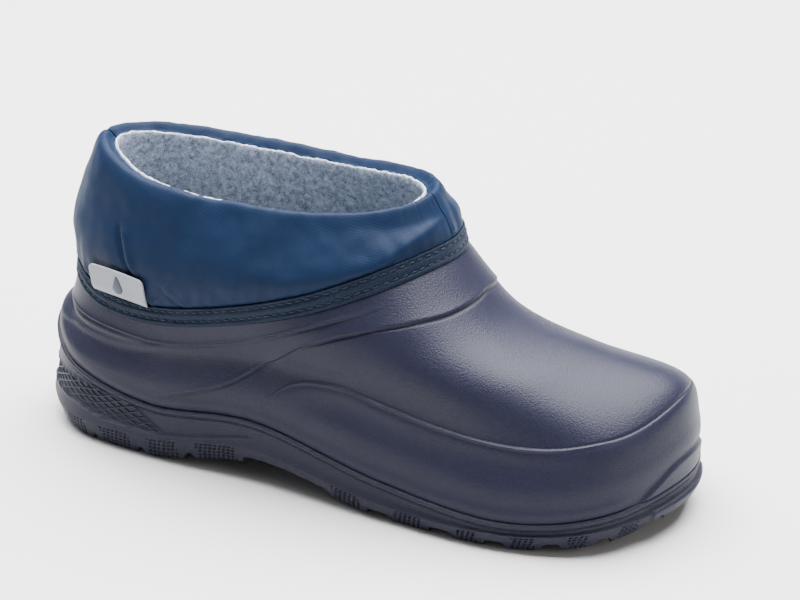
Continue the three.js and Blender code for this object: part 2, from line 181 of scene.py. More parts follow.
def piece(name, points, faces, uv=None, wrap=0):
    """A mesh object, at the origin. uv is one pair for each point, and wrap the length of a full turn."""
    mesh = bpy.data.meshes.new(name)
    mesh.from_pydata((np.asarray(points) * MM).tolist(), [], faces)
    mesh.polygons.foreach_set("use_smooth", [True] * len(mesh.polygons))
    if uv is not None:
        corner = np.empty(len(mesh.loops), int)
        mesh.loops.foreach_get("vertex_index", corner)
        start = np.empty(len(mesh.polygons), int)
        mesh.polygons.foreach_get("loop_start", start)
        total = np.diff(np.append(start, len(corner)))
        place = np.asarray(uv, float)[corner]
        if wrap:
            furthest = np.repeat(np.maximum.reduceat(place[:, 0], start), total)
            place[:, 0] += np.where(furthest - place[:, 0] > wrap / 2, wrap, 0)
        mesh.uv_layers.new(name="run").data.foreach_set("uv", place.ravel())
    made = bpy.data.objects.new(name, mesh)
    bpy.context.collection.objects.link(made)
    return made


def vessel(name, rings):
    """A closed body from rings that run from its underside round its rim to its floor."""
    counts = [len(ring) for ring in rings]
    faces = ring_faces(counts)
    faces += [face[::-1] for face in cap_faces(0, counts[0])]
    faces += cap_faces(sum(counts[:-1]), counts[-1])
    return piece(name, np.concatenate(rings), faces)


def spans_round(pairs):
    """Start and end, in millimetres round the outline, of spans given on one side and mirrored."""
    whole = [pair for a, b in pairs for pair in ((a, b), (2 * TOE - b, 2 * TOE - a))]
    return [tuple(np.interp(pair, fine, run)) for pair in whole]


def depth_inside(place, spans, scale=(1, 1)):
    """How far each place lies inside the nearest span, 0 outside all of them. scale is one unit of
    depth from the end nearer the heel, and from the end nearer the toe."""
    depth = 0 * place
    for a, b in spans:
        low, high = scale if a < perimeter / 2 else scale[::-1]
        depth = np.maximum(depth, np.minimum((place - a) / low, (b - place) / high))
    return depth


def sole_heights(u):
    """Lug faces and notch roots at each station."""
    place = np.interp(u, fine, run)
    gaps = spans_round([(a[1], b[0]) for a, b in zip(LUGS, LUGS[1:])])
    into = np.minimum(depth_inside(place, gaps, NOTCH_ROUND), 1)
    floor = np.maximum(0, round_foot(both(GROUND_Z), u))
    return floor, floor + LUG_DEPTH * np.sqrt(1 - (1 - into)**2)


def wall_inset(share, u):
    """The sole wall between its widest line (0) and the piping (1): drawn in, most of all at the heel."""
    return (1.2 + round_foot(both(HEEL_DRAW), u)) * share + 0.5 * np.sin(math.pi * share)


def wall_top(u):
    return round_foot(both(WELT_Z), u) - 2 * CORD - 2 * PIPING - 0.6


def mesh_strands():
    """Two crossing families of round strands that stand on the recessed panel round the heel."""
    bodies, faces = [], []
    cell_along, cell_up = MESH_CELL
    turns = np.arange(STRAND_SIDES) * math.tau / STRAND_SIDES
    for k in np.arange(STRANDS_EACH_WAY) - (STRANDS_EACH_WAY - 1) / 2:
        for way in (-1, 1):
            place = k * cell_along + way * np.linspace(0, STRAND_RUN * cell_along, STRAND_SAMPLES)
            low, high = (curve_through(line, np.abs(place)) for line in (MESH_EDGE, MESH_TOP))
            z = low + np.abs(place - place[0]) * cell_up / cell_along
            inside = (z < high) & (np.abs(place) < MESH_FRONT)
            if not inside[:6].all():
                continue
            last = np.argmin(inside) if not inside.all() else STRAND_SAMPLES
            u = np.interp(place[:last] % perimeter, run, fine)
            widest = round_foot(both(SOLE_EDGE_Z), u)
            share = (z[:last] - widest) / (wall_top(u) - widest)
            centre = wall_inset(np.clip(share, 0, 1), u) + MESH_RECESS - 0.1
            rings = [sole_ring(centre - STRAND * math.sin(turn), z[:last] + STRAND * math.cos(turn), u)
                     for turn in turns]
            start = sum(len(body) for body in bodies)
            bodies.append(np.array(rings).transpose(1, 0, 2).reshape(-1, 3))
            loop = list(range(STRAND_SIDES))
            far_loop = [corner + STRAND_SIDES * (last - 1) for corner in loop]
            strip = ring_faces([STRAND_SIDES] * last) + [loop[::-1], far_loop]
            if way > 0:
                strip = [face[::-1] for face in strip]
            faces += [[start + corner for corner in face] for face in strip]
    return np.concatenate(bodies), faces


def outsole_rings():
    """Rings up the tray: tread, pitted lug sides, wall, piping, welt cord, and the seat inside."""
    u = even_stations(SOLE_COLUMNS)
    place = np.interp(u, fine, run)
    from_heel = np.minimum(place, perimeter - place)
    station = np.minimum(u, 2 * TOE - u)
    column = np.arange(SOLE_COLUMNS)
    floor, tread = sole_heights(u)
    widest = round_foot(both(SOLE_EDGE_Z), u)
    welt = round_foot(both(WELT_Z), u)
    lugs = spans_round([lug for lug in LUGS if lug[1] < TOE])
    on_lug = depth_inside(place, lugs) > PIT_MARGIN
    heel_lug = from_heel < np.interp(LUGS[0][1], fine, run) - PIT_MARGIN
    bumper = ease(station, BUMPER_START, BUMPER_START + 0.03)
    bumper_top = widest + 1.2

    def lean(z):
        return TREAD_INSET * np.clip(1 - (z - floor) / (widest - floor), 0, 1)**1.5

    def bulge(z):
        return BUMPER_PROUD * bumper * (1 - ease(z, bumper_top - 0.4, bumper_top + 0.1))

    coarse, tread_coarse = u[::2], tread[::2]
    roots = floor[::2] + LUG_DEPTH
    middle = TREAD_INSET + LUG_REACH + LUG_CHANNEL
    rings = [
        sole_ring(middle, tread_coarse, coarse),
        sole_ring(middle - 0.6, roots, coarse),
        sole_ring(TREAD_INSET + LUG_REACH + 0.6, roots, coarse),
        sole_ring(TREAD_INSET + LUG_REACH, tread_coarse, coarse),
        sole_ring(TREAD_INSET + 3, tread_coarse, coarse),
        sole_ring(lean(tread) + 1.0, tread, u),
        sole_ring(lean(tread) + 0.3, tread + 0.15, u),
    ]
    for row in range(1, SIDE_ROWS + 1):
        z = tread + 0.6 + (widest - tread - 0.6) * (row - 1) / (SIDE_ROWS - 1)
        pit_row = row % PIT_STEP >= PIT_STEP / 2 and row < SIDE_ROWS - 1
        pit_column = (column - row // PIT_STEP) % PIT_STEP >= PIT_STEP / 2
        in_pit = (on_lug | heel_lug) & pit_column & pit_row & (bumper == 0)
        rings.append(sole_ring(lean(z) + PIT_DEPTH * in_pit - bulge(z), z, u))

    mesh_top = curve_through(MESH_TOP, from_heel)
    mesh_edge = curve_through(MESH_EDGE, from_heel)
    top = wall_top(u)
    for row in range(1, WALL_ROWS + 1):
        share = row / WALL_ROWS
        z = widest + (top - widest) * share
        inside = (ease(z - mesh_edge, 0, 0.7) * ease(mesh_top - z, 0, 0.7)
                  * (1 - ease(from_heel, MESH_FRONT - 1, MESH_FRONT + 1)))
        edge_line = bead(z, mesh_edge, MESH_LINE) * (1 - ease(from_heel, 128, 137))
        top_line = bead(z, mesh_top, MESH_LINE) * (1 - ease(from_heel, MESH_FRONT, MESH_FRONT + 3))
        inset = wall_inset(share, u) - bulge(z) + MESH_RECESS * inside
        rings.append(sole_ring(inset - 0.5 * np.maximum(edge_line, top_line), z, u))

    draw = round_foot(both(HEEL_DRAW), u)
    rings.append(sole_ring(draw + 2.0, top + 0.2, u))
    piping = PIPING * (1 + 0.3 * np.cos(column * math.tau / 3))
    for angle in np.radians([-50, 0, 50]):
        rings.append(sole_ring(draw + 1.1 - piping * math.cos(angle),
                               top + 0.3 + PIPING + piping * math.sin(angle), u))
    for angle in np.radians([-65, -40, -15, 10, 35, 60, 90]):
        rings.append(sole_ring(draw + 1.0 - CORD * math.cos(angle),
                               welt - CORD + CORD * math.sin(angle), u))
    rings.append(sole_ring(SEAT, WELT_Z, coarse))
    rings.append(sole_ring(SEAT, FLOOR_Z, coarse))
    return rings


def srgb(code):
    """A colour socket's linear value from a hex code such as '8090a0'."""
    parts = [int(code[i:i + 2], 16) / 255 for i in (0, 2, 4)]
    return [c / 12.92 if c <= 0.04045 else ((c + 0.055) / 1.055)**2.4 for c in parts] + [1]


def node(tree, kind, settings, links=None):
    """Adds a node. Lower-case settings are its own options; the others, and the links, name sockets."""
    made = tree.nodes.new("ShaderNode" + kind)
    for key, value in settings.items():
        if isinstance(key, str) and key[0].islower():
            setattr(made, key, value)
        else:
            made.inputs[key].default_value = value
    for socket, source in (links or {}).items():
        tree.links.new(source, made.inputs[socket])
    return made


def material(name, settings):
    """A material with its shader set, and where patterns start: the node tree, shader and coordinates."""
    made = bpy.data.materials.new(name)
    made.use_nodes = True
    tree = made.node_tree
    shader = tree.nodes["Principled BSDF"]
    for socket, value in settings.items():
        shader.inputs[socket].default_value = value
    return made, tree, shader, node(tree, "TexCoord", {})


def finish_with(tree, shader, colour, bump):
    """Gives a shader its colour and its surface relief."""
    tree.links.new(colour, shader.inputs["Base Color"])
    tree.links.new(bump.outputs["Normal"], shader.inputs["Normal"])


def foamed_eva(name, tones, roughness, grain_mm, relief_mm):
    """Injection-moulded EVA foam: a matt rubbery skin with a fine leather grain taken from the mould,
    slightly uneven in colour, with painted shade in the grain's hollows and painted light on its tops,
    and a dull broad highlight."""
    made, tree, shader, coords = material(name, {"Roughness": roughness, "IOR": 1.49,
                                                 "Specular IOR Level": 0.17})
    where = {"Vector": coords.outputs["Object"]}
    cloud = node(tree, "TexNoise", {"Scale": 45, "Detail": 3, "Roughness": 0.6}, where)
    warp = node(tree, "TexNoise", {"Scale": 600 / grain_mm, "Detail": 2}, where)
    nudge = node(tree, "VectorMath", {"operation": "MULTIPLY_ADD", 1: [0.0006 * grain_mm] * 3},
                 {0: warp.outputs["Color"], 2: coords.outputs["Object"]})
    pebble = node(tree, "TexVoronoi", {"feature": "SMOOTH_F1", "Scale": 1000 / grain_mm,
                                       "Smoothness": 0.5}, {"Vector": nudge.outputs["Vector"]})
    tint = node(tree, "Mix", {"data_type": "RGBA", 6: srgb(tones[0]), 7: srgb(tones[1])},
                {0: cloud.outputs["Fac"]})
    # Painted shade and light: the colour is darkened in the grain's hollows and lightened on its tops.
    painted_grain_shade = node(tree, "MapRange", {"From Min": 0.2, "From Max": 0.75, "To Min": 1.08, "To Max": 0.8},
                   {"Value": pebble.outputs["Distance"]})
    shade = node(tree, "Mix", {"data_type": "RGBA", "blend_type": "MULTIPLY", 0: 1.0},
                 {6: tint.outputs[2], 7: painted_grain_shade.outputs[0]})
    bump = node(tree, "Bump", {"invert": True, "Strength": 1.0, "Distance": relief_mm * MM},
                {"Height": pebble.outputs["Distance"]})
    finish_with(tree, shader, shade.outputs[2], bump)
    return made


def pick(*pieces):
    """Selects these pieces alone, the first of them active."""
    bpy.ops.object.select_all(action="DESELECT")
    for one in pieces:
        one.select_set(True)
    bpy.context.view_layer.objects.active = pieces[0]


def shade_by_angle(made, degrees):
    pick(made)
    bpy.ops.object.shade_smooth_by_angle(angle=math.radians(degrees))


# The sole's foam has the upper's colour. Its tones here are set lighter, as painted light that lifts the
# sole where it stands in shade.
sole_eva_painted_lighter = foamed_eva("sole_foamed_eva", ("20212e", "242533"), 0.5, 0.65, 0.11)
sole = vessel("outsole_shell", outsole_rings())
pick(sole, piece("chain_mesh", *mesh_strands()))
bpy.ops.object.join()
shade_by_angle(sole, 40)
sole.data.materials.append(sole_eva_painted_lighter)
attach(sole, "clog")
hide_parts("outsole")

# ---- upper ---------------------------------------------------------------------------------------
# The moulded bootie of the same foam stands in the sole tray. Its wall carries an overlay on the quarter,
# a rolled mudguard line round the forefoot, a toe cap and a rim line under the tape.
RIDGE_Z = [53, 50, 45, 45, 52, 49, 41, 47, 56]
RIDGE_INSET = [10, 9, 6, 4, 3.5, 6, 7.5, 7, 9]
FULLNESS = [2.2, 2, 2, 2, 2, 2, 2.2, 3, 3.8]   # swell of the wall halfway from the welt to the ridge
VAMP_LOW = ([0, 0, 0, 0, 0, 2, 4, -1, -6], [0, 0, 0, 0, 0, -1, -4, -7, -6])
VAMP_HIGH = ([0, 0, 0, 0, 0, 2, 2, -5, -12], [0, 0, 0, 0, 0, -2, -6, -11, -12])
TOP_X = [-128, -121.5, -103, -72, -36, -3, 23, 37, 42]
TOP_LATERAL = [0, -19, -32, -39, -42.5, -43, -35, -19, 0]
TOP_MEDIAL = [0, 19, 31, 37, 39.5, 40, 33, 18, 0]
TOP_Z = [68, 64, 58.5, 59.5, 68, 79, 90, 95, 96]
UPPER_WALL = 5
SEAT_GAP = 0.6
GAP = 0.3                      # room between bonded or sewn layers
INNER_FOOT = 9.6               # start of the wall's inner face, above the tray floor
WALL_STEP = 1 / 12             # share of the wall over which its slope is measured
INNER_RISES = [3 / 12, 4 / 12, 6 / 12, 8 / 12, 10 / 12, 1]
BAND_HEIGHT = 8                # the thinned edge that the tape is folded over
TAPE_WALL = 1.8
UPPER_COLUMNS = 600
# Lines on the wall: how far up from welt (0) to tape (1) each one runs, by station.
MUDGUARD = [(0, 0.22), (2.5, 0.12), (3.2, 0.03), (3.7, 0.06), (4.0, 0.14), (4.16, 0.23), (4.26, 0.305),
            (4.38, 0.355), (4.54, 0.39), (4.71, 0.405), (4.91, 0.39), (5.11, 0.38), (5.36, 0.382),
            (5.64, 0.398), (5.92, 0.408), (6.14, 0.405), (6.52, 0.395), (6.94, 0.385), (7.4, 0.36),
            (7.86, 0.35), (8, 0.35)]
OVERLAY = [(0, 0.36), (1.2, 0.3), (2.2, 0.2), (2.8, 0.1), (3.01, 0.095), (3.4, 0.15), (3.66, 0.205),
           (3.91, 0.3), (4.17, 0.485), (4.36, 0.62), (4.56, 0.72), (4.91, 0.8), (5.41, 0.85),
           (6.07, 0.87), (6.7, 0.877), (7.23, 0.885), (8, 0.897)]
RIM = [(0, 0.43), (0.5, 0.45), (1.3, 0.6), (2.0, 0.72), (2.5, 0.72), (2.92, 0.675), (3.18, 0.665),
       (3.45, 0.67), (3.85, 0.73), (4.28, 0.825), (4.74, 0.9), (5.18, 0.93), (5.66, 0.94),
       (6.34, 0.95), (8, 0.955)]
HEEL_CREST = [(0.5, 0.33), (1.2, 0.45), (1.9, 0.58), (2.4, 0.6), (3.0, 0.6)]
HEEL_SWEEP = [(0.6, 0.12), (1.2, 0.26), (1.7, 0.38), (2.1, 0.42), (2.6, 0.44), (3.0, 0.52), (3.2, 0.62)]
TOE_CAP = [(7.15, -0.03), (7.3, 0.0), (7.49, 0.05), (7.66, 0.09), (7.85, 0.1), (8, 0.1)]
LINE_ROWS = [46, 56, 18, 16]   # rows below, between and above the three full-length lines


def grow(ring, out, up):
    """Moves each point of a ring outwards in plan and upwards."""
    along = np.roll(ring, -1, 0) - np.roll(ring, 1, 0)
    along = along[:, :2] / np.linalg.norm(along[:, :2], axis=1)[:, None]
    moved = ring.copy()
    moved[:, 0] += along[:, 1] * out
    moved[:, 1] -= along[:, 0] * out
    moved[:, 2] += up
    return moved


def station_ring(x, lateral, medial, z, u, z_medial=None):
    """A ring through station values of its own, at stations u."""
    return round_foot(np.stack([both(x), both(lateral, medial), both(z, z_medial)], 1), u)


def raised(heights, by):
    return [z + by for z in heights]


def climb(guides, rise):
    """Points up smooth curves through the guide rings. rise is 0 to 1, for a row or for each point."""
    guides = np.array([2 * guides[0] - guides[1], *guides, 2 * guides[-1] - guides[-2]])
    spans = len(guides) - 3
    scaled = np.clip(np.asarray(rise, float), 0, 1) * spans
    scaled = np.broadcast_to(scaled, guides.shape[1:2]) if scaled.ndim == 0 else scaled
    i = np.minimum(scaled.astype(int), spans - 1)
    w = (scaled - i)[:, None]
    column = np.arange(guides.shape[1])
    p0, p1, p2, p3 = (guides[i + k, column] for k in range(4))
    return 0.5 * (2 * p1 + (p2 - p0) * w + (2 * p0 - 5 * p1 + 4 * p2 - p3) * w**2
                  + (3 * p1 - p0 - 3 * p2 + p3) * w**3)


def wall_guides(u):
    """The rings that shape the outside of the wall, from the welt to the tape."""
    welt = sole_ring(raised(HEEL_DRAW, 1.0), WELT_Z, u)
    ridge = sole_ring(RIDGE_INSET, RIDGE_Z, u)
    top = station_ring(TOP_X, TOP_LATERAL, TOP_MEDIAL, TOP_Z, u)

    def crown(share, values):
        swell = round_foot(both(*values), u)
        return grow(ridge * (1 - share) + top * share, 0.6 * swell, 0.8 * swell)

    fullness = round_foot(both(FULLNESS), u)
    return [grow(welt, 0, 0.2), grow((welt + ridge) / 2, fullness, 0), ridge,
            crown(1 / 3, VAMP_LOW), crown(2 / 3, VAMP_HIGH), top]


def outward(rows):
    """Normals of a grid of closed rows that climb from bottom to top."""
    along = np.roll(rows, -1, 1) - np.roll(rows, 1, 1)
    normal = np.cross(along, np.gradient(rows, axis=0))
    return normal / np.linalg.norm(normal, axis=2)[:, :, None]


def wall_layer(u, rises, depth):
    """Rows of the wall, set in from its outer face by depth."""
    guides = wall_guides(u)
    rows = []
    for rise in rises:
        low, high = max(rise - WALL_STEP, 0), min(rise + WALL_STEP, 1)
        here = climb(guides, rise)
        along = np.roll(here, -1, 0) - np.roll(here, 1, 0)
        normal = np.cross(along, climb(guides, high) - climb(guides, low))
        rows.append(here - depth * normal / np.linalg.norm(normal, axis=1)[:, None])
    return rows


def band_frame(u):
    """The sewn edge of the upper: its points, its outward normals and the way that the band rises."""
    guides = wall_guides(u)
    edge = climb(guides, 1)
    up = edge - climb(guides, 1 - WALL_STEP)
    up /= np.linalg.norm(up, axis=1)[:, None]
    normal = np.cross(np.roll(edge, -1, 0) - np.roll(edge, 1, 0), up)
    normal /= np.linalg.norm(normal, axis=1)[:, None]
    rise = 0.35 * up + [0, 0, 0.65]
    return edge, normal, rise / np.linalg.norm(rise, axis=1)[:, None]


def band_at(band, height, depth):
    """A ring at a height up the sewn band and a depth behind its face."""
    edge, normal, rise = band
    return edge - normal * np.reshape(depth, (-1, 1)) + rise * np.reshape(height, (-1, 1))


def upper_rings():
    """Rings up the outside of the wall with its relief, over the sewn edge, and down the inside."""
    u = even_stations(UPPER_COLUMNS)
    side = np.minimum(u, 2 * TOE - u)
    guides = wall_guides(u)
    lines = [0 * side, *(curve_through(line, side) for line in (MUDGUARD, OVERLAY, RIM)), 0 * side + 1]
    rises = [lines[0]]
    for low, high, count in zip(lines, lines[1:], LINE_ROWS):
        for k in range(1, count + 1):
            rises.append(low + (high - low) * (0.5 - 0.5 * math.cos(math.pi * k / count)))
    rises = np.array(rises)
    rows = np.array([climb(guides, rise) for rise in rises])
    normals = outward(rows)
    climbed = np.concatenate([0 * rises[:1], np.cumsum(np.linalg.norm(np.diff(rows, axis=0), axis=2), 0)])

    def above(line):
        """Height in millimetres above a line, measured up the wall."""
        rise = curve_through(line, side) if isinstance(line, list) else line
        at = [np.interp(rise[i], rises[:, i], climbed[:, i]) for i in range(len(side))]
        return climbed - np.array(at)

    def shoulder(over, start, end, flat, length):
        """A step up at a line, whose top dies away further up the wall."""
        return ease(over, start, end) * np.exp(-np.maximum(over - flat, 0) / length)

    relief = np.zeros_like(climbed)
    # The mudguard line is a rolled bead over a swell and a hollow. Towards the toe it becomes a groove.
    over = above(MUDGUARD)
    toe = ease(side, 6.0, 7.4)
    relief += ease(side, 4.05, 4.6) * (
        (0.8 - 0.75 * toe) * bead(over, 0, 0.7) - (0.15 + 0.4 * toe) * bead(over, 0.9 - 0.5 * toe, 0.6)
        + (0.6 - 0.4 * toe) * bead(over, -2.5, 3) - 0.6 * (1 - toe) * bead(over, -11, 5))
    # The overlay's lower edge is a step with a fine lip and a groove under it, bolder at the front.
    over = above(OVERLAY)
    front = ease(side, 4.4, 5.2)
    relief += ease(side, 2.9, 3.6) * (
        (0.55 + 0.25 * front) * shoulder(over, -0.3, 0.6 + 0.4 * front, 1, 5 + 3 * front)
        + 0.3 * (1 - front) * bead(over, 0.5, 0.5) - (0.15 + 0.4 * front) * bead(over, -0.5, 0.6))
    # The rim line under the tape fades out over the instep.
    over = above(RIM)
    relief += (1 - ease(side, 5.0, 6.0)) * (0.75 * shoulder(over, -0.4, 0.5, 0.6, 5)
                                            + 0.3 * bead(over, 0.4, 0.5) - 0.3 * bead(over, -0.8, 0.7))
    # Two short lines sweep back round the heel.
    over = above(HEEL_CREST)
    relief += ease(side, 0.4, 1.0) * (1 - ease(side, 2.3, 3.0)) * (
        0.6 * shoulder(over, -0.5, 0.6, 0.5, 3) - 0.35 * bead(over, -0.9, 1.0))
    over = above(HEEL_SWEEP)
    relief += ease(side, 0.6, 1.2) * (1 - ease(side, 2.9, 3.3)) * (
        0.3 * bead(over, 1.0, 1.1) - 0.35 * bead(over, -1.2, 1.6))
    # The toe cap stands proud below its line, and a low roll follows the welt along both sides.
    over = above(TOE_CAP)
    relief += ease(side, 7.1, 7.45) * (0.9 * (1 - ease(over, -0.6, 0.5)) - 0.35 * bead(over, 1.2, 1.0))
    relief += 0.7 * bead(climbed, 3, 2.5) * ease(side, 1.5, 3) * (1 - ease(side, 7, 7.4))
    relief -= 0.2 * np.exp(-climbed / 0.5)
    rows = rows + normals * relief[:, :, None]

    coarse = u[::4]
    band = band_frame(coarse)
    floor_inset = SEAT + SEAT_GAP + UPPER_WALL - GAP
    return [
        sole_ring(SEAT + SEAT_GAP, raised(FLOOR_Z, SEAT_GAP), coarse),
        sole_ring(SEAT + SEAT_GAP, raised(WELT_Z, SEAT_GAP), coarse),
        *rows,
        band_at(band, 0, TAPE_WALL + GAP),
        band_at(band, BAND_HEIGHT, TAPE_WALL + GAP),
        band_at(band, BAND_HEIGHT, UPPER_WALL),
        *wall_layer(coarse, INNER_RISES[::-1], UPPER_WALL),
        sole_ring(floor_inset, raised(FLOOR_Z, INNER_FOOT), coarse),
        sole_ring(floor_inset, raised(FLOOR_Z, UPPER_WALL), coarse),
    ]


upper_eva = foamed_eva("upper_foamed_eva", ("1a1b2b", "1e1f31"), 0.46, 0.6, 0.1)
upper = vessel("upper_shell", upper_rings())
upper.data.materials.append(upper_eva)
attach(upper, "clog")
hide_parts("upper")

# ---- lining --------------------------------------------------------------------------------------
# Wool-mix felt, 3 mm at the sides and 4 mm underfoot, cut as two sides and a footbed. The sides meet at
# the heel and at the toe, and their raw top edges stand just clear of the nylon roll.
FELT_X = [-112, -105, -88.5, -65, -39.5, -13, 9, 21.5, 26]
FELT_LATERAL = [0, -11.5, -20, -24.5, -25.5, -25, -20.5, -11.5, 0]
FELT_MEDIAL = [0, 12, 21.5, 26.5, 27.5, 26.5, 22, 12, 0]
FELT_Z = ([120, 118, 113.5, 111.5, 111.5, 112, 114.5, 116, 117.5],
          [120, 119, 116.5, 114.5, 113.5, 113.5, 115.5, 117, 117.5])
FELT_WALL = 3
FELT_SOLE = 4
LINING_COLUMNS = 360
LINING_ROWS = 70
FOOTBED_COLUMNS = 240
NAP_COUNT = 9000
NAP_LENGTH = 0.7


def felt_line(u):
    """Where the nylon roll meets the felt inside the opening."""
    return station_ring(FELT_X, FELT_LATERAL, FELT_MEDIAL, FELT_Z[0], u, FELT_Z[1])


def half(rings, first, last):
    """The columns of one side of the foot, with its two ends drawn back a hair from the centre seams."""
    cut = []
    for ring in rings:
        part = np.take(ring, np.arange(first, last + 1), axis=0, mode="wrap").copy()
        for end, inner in ((0, 1), (-1, -2)):
            away = part[inner] - part[end]
            part[end] = part[end] + away * (GAP / max(np.linalg.norm(away), GAP))
        cut.append(part)
    return cut


def half_hoop(name, rings):
    """A closed body whose section is the loop that the rings cut, ending at the heel and toe seams."""
    count = len(rings[0])
    faces = ring_faces([count] * len(rings), around=False, along=True)
    column = [j * count for j in range(len(rings))]
    faces += [column, [j + count - 1 for j in column[::-1]]]
    return piece(name, np.concatenate(rings), faces)


def face_outwards(made):
    pick(made)
    bpy.ops.object.mode_set(mode="EDIT")
    bpy.ops.mesh.select_all(action="SELECT")
    bpy.ops.mesh.normals_make_consistent(inside=False)
    bpy.ops.object.mode_set(mode="OBJECT")


def rough(points, size, height, seed):
    """Gentle unevenness for each point, from smooth noise with bumps of the given size."""
    shift = Vector((seed * 17.3, seed * 5.1, seed * 9.7))
    return height * np.array([noise.noise(Vector(p) / size + shift) for p in points])


def outward_plan(ring):
    """Level unit vectors that point out of a ring."""
    along = np.roll(ring, -1, 0) - np.roll(ring, 1, 0)
    out = np.column_stack([along[:, 1], -along[:, 0], 0 * along[:, 0]])
    return out / np.linalg.norm(out, axis=1)[:, None]


def lining_rings():
    """Rings up the felt's inner face, over its frayed edge, and down its outer face."""
    u = even_stations(LINING_COLUMNS)
    felt = felt_line(u)
    band = band_frame(u)
    depth = UPPER_WALL + GAP
    foot = raised(FLOOR_Z, INNER_FOOT)
    face = depth + FELT_WALL
    inner = [sole_ring(SEAT + SEAT_GAP + UPPER_WALL + FELT_WALL, foot, u),
             *wall_layer(u, INNER_RISES, face), band_at(band, BAND_HEIGHT, face)]
    top = grow(felt, -1.1, -1.8)
    guides = [*inner, (inner[-1] + top) / 2, top]
    inside = [climb(guides, row / LINING_ROWS) for row in range(LINING_ROWS + 1)]
    inside = [ring + outward_plan(ring) * rough(ring, 2.2, 0.35, 1)[:, None] for ring in inside]
    fray = rough(felt, 1.6, 0.5, 2) + rough(felt, 7, 0.5, 3)
    edge = [grow(felt, -1.25, 0.1 + fray * 0.6), grow(felt, -1.0, 0.7 + fray),
            grow(felt, -0.45, 0.6 + fray), grow(felt, -0.3, -0.3), grow(felt, -0.25, -1.5),
            grow(felt, 1.8, -4.5)]
    outer_foot = sole_ring(SEAT + SEAT_GAP + UPPER_WALL, foot, u)
    low = band_at(band, BAND_HEIGHT, depth)
    outside = [low * (1 - t) + edge[-1] * t for t in (0.75, 0.5, 0.25, 0)]
    outside += wall_layer(u, INNER_RISES[::-1], depth) + [outer_foot]
    return inside + edge + outside


def wool_felt():
    """Needled wool-mix felt: grey-blue melange of light and dark fibres, matt with a soft nap."""
    made, tree, shader, coords = material("needled_wool_felt", {
        "Roughness": 0.95, "Specular IOR Level": 0.15, "Sheen Weight": 0.35, "Sheen Roughness": 0.6})
    where = {"Vector": coords.outputs["Object"]}
    flecks = node(tree, "TexNoise", {"Scale": 1500, "Detail": 4, "Roughness": 0.75}, where)
    clumps = node(tree, "TexNoise", {"Scale": 420, "Detail": 3, "Roughness": 0.6}, where)
    blend = node(tree, "Math", {"operation": "MULTIPLY_ADD", 1: 0.55}, {0: flecks.outputs["Fac"]})
    half_clumps = node(tree, "Math", {"operation": "MULTIPLY", 1: 0.45}, {0: clumps.outputs["Fac"]})
    tree.links.new(half_clumps.outputs[0], blend.inputs[2])
    ramp = node(tree, "ValToRGB", {}, {"Fac": blend.outputs[0]})
    for stop, (place, tone) in zip(ramp.color_ramp.elements, ((0.36, "3a4353"), (0.64, "b4bfd0"))):
        stop.position, stop.color = place, srgb(tone)
    # Painted light and shade: the felt is darkened low down inside the opening and lightened towards its
    # top edge.
    height = node(tree, "SeparateXYZ", {}, {0: coords.outputs["Object"]})
    painted_depth_shade = node(tree, "MapRange", {"From Min": 0.085, "From Max": 0.118, "To Min": 0.8, "To Max": 1.7},
                {"Value": height.outputs["Z"]})
    shade = node(tree, "Mix", {"data_type": "RGBA", "blend_type": "MULTIPLY", 0: 1.0},
                 {6: ramp.outputs["Color"], 7: painted_depth_shade.outputs[0]})
    bump = node(tree, "Bump", {"Strength": 1.0, "Distance": 0.5 * MM}, {"Height": blend.outputs[0]})
    finish_with(tree, shader, shade.outputs[2], bump)
    return made


def nap(rows, count, length, seed):
    """Loose fibres standing out of a grid of felt: tapering slivers with three sides."""
    dice = np.random.default_rng(seed)
    facing = outward(rows)
    j = dice.integers(2, rows.shape[0] - 2, count)
    i = dice.integers(2, rows.shape[1] - 2, count)
    out, at = facing[j, i], rows[j, i] + (rows[j, i + 1] - rows[j, i]) * dice.random((count, 1))
    lean = out * 0.35 + dice.normal(0, 0.5, (count, 3))
    lean /= np.linalg.norm(lean, axis=1)[:, None]
    across = np.cross(lean, dice.normal(0, 1, (count, 3)))
    across /= np.linalg.norm(across, axis=1)[:, None]
    other = np.cross(lean, across)
    reach = length * (0.5 + dice.random((count, 1)))
    points = np.stack([at + 0.07 * across, at - 0.04 * across + 0.06 * other,
                       at - 0.04 * across - 0.06 * other, at + reach * lean], 1)
    sliver = ((2, 1, 0), (0, 1, 3), (1, 2, 3), (2, 0, 3))
    faces = [[4 * k + corner for corner in face] for k in range(count) for face in sliver]
    return points.reshape(-1, 3), faces


felt_cloth = wool_felt()
lining = lining_rings()
for side, first in (("lateral", 0), ("medial", LINING_COLUMNS // 2)):
    felt_side = half_hoop(f"lining_side_{side}", half(lining, first, first + LINING_COLUMNS // 2))
    face_outwards(felt_side)
    seen = np.array(half(lining[LINING_ROWS // 3:LINING_ROWS + 4], first, first + LINING_COLUMNS // 2))
    pick(felt_side, piece(f"nap_{side}", *nap(seen[:, ::-1], NAP_COUNT, NAP_LENGTH, 1 + first)))
    bpy.ops.object.join()
    felt_side.data.materials.append(felt_cloth)
    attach(felt_side, "clog")
    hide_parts(f"lining_{side}")

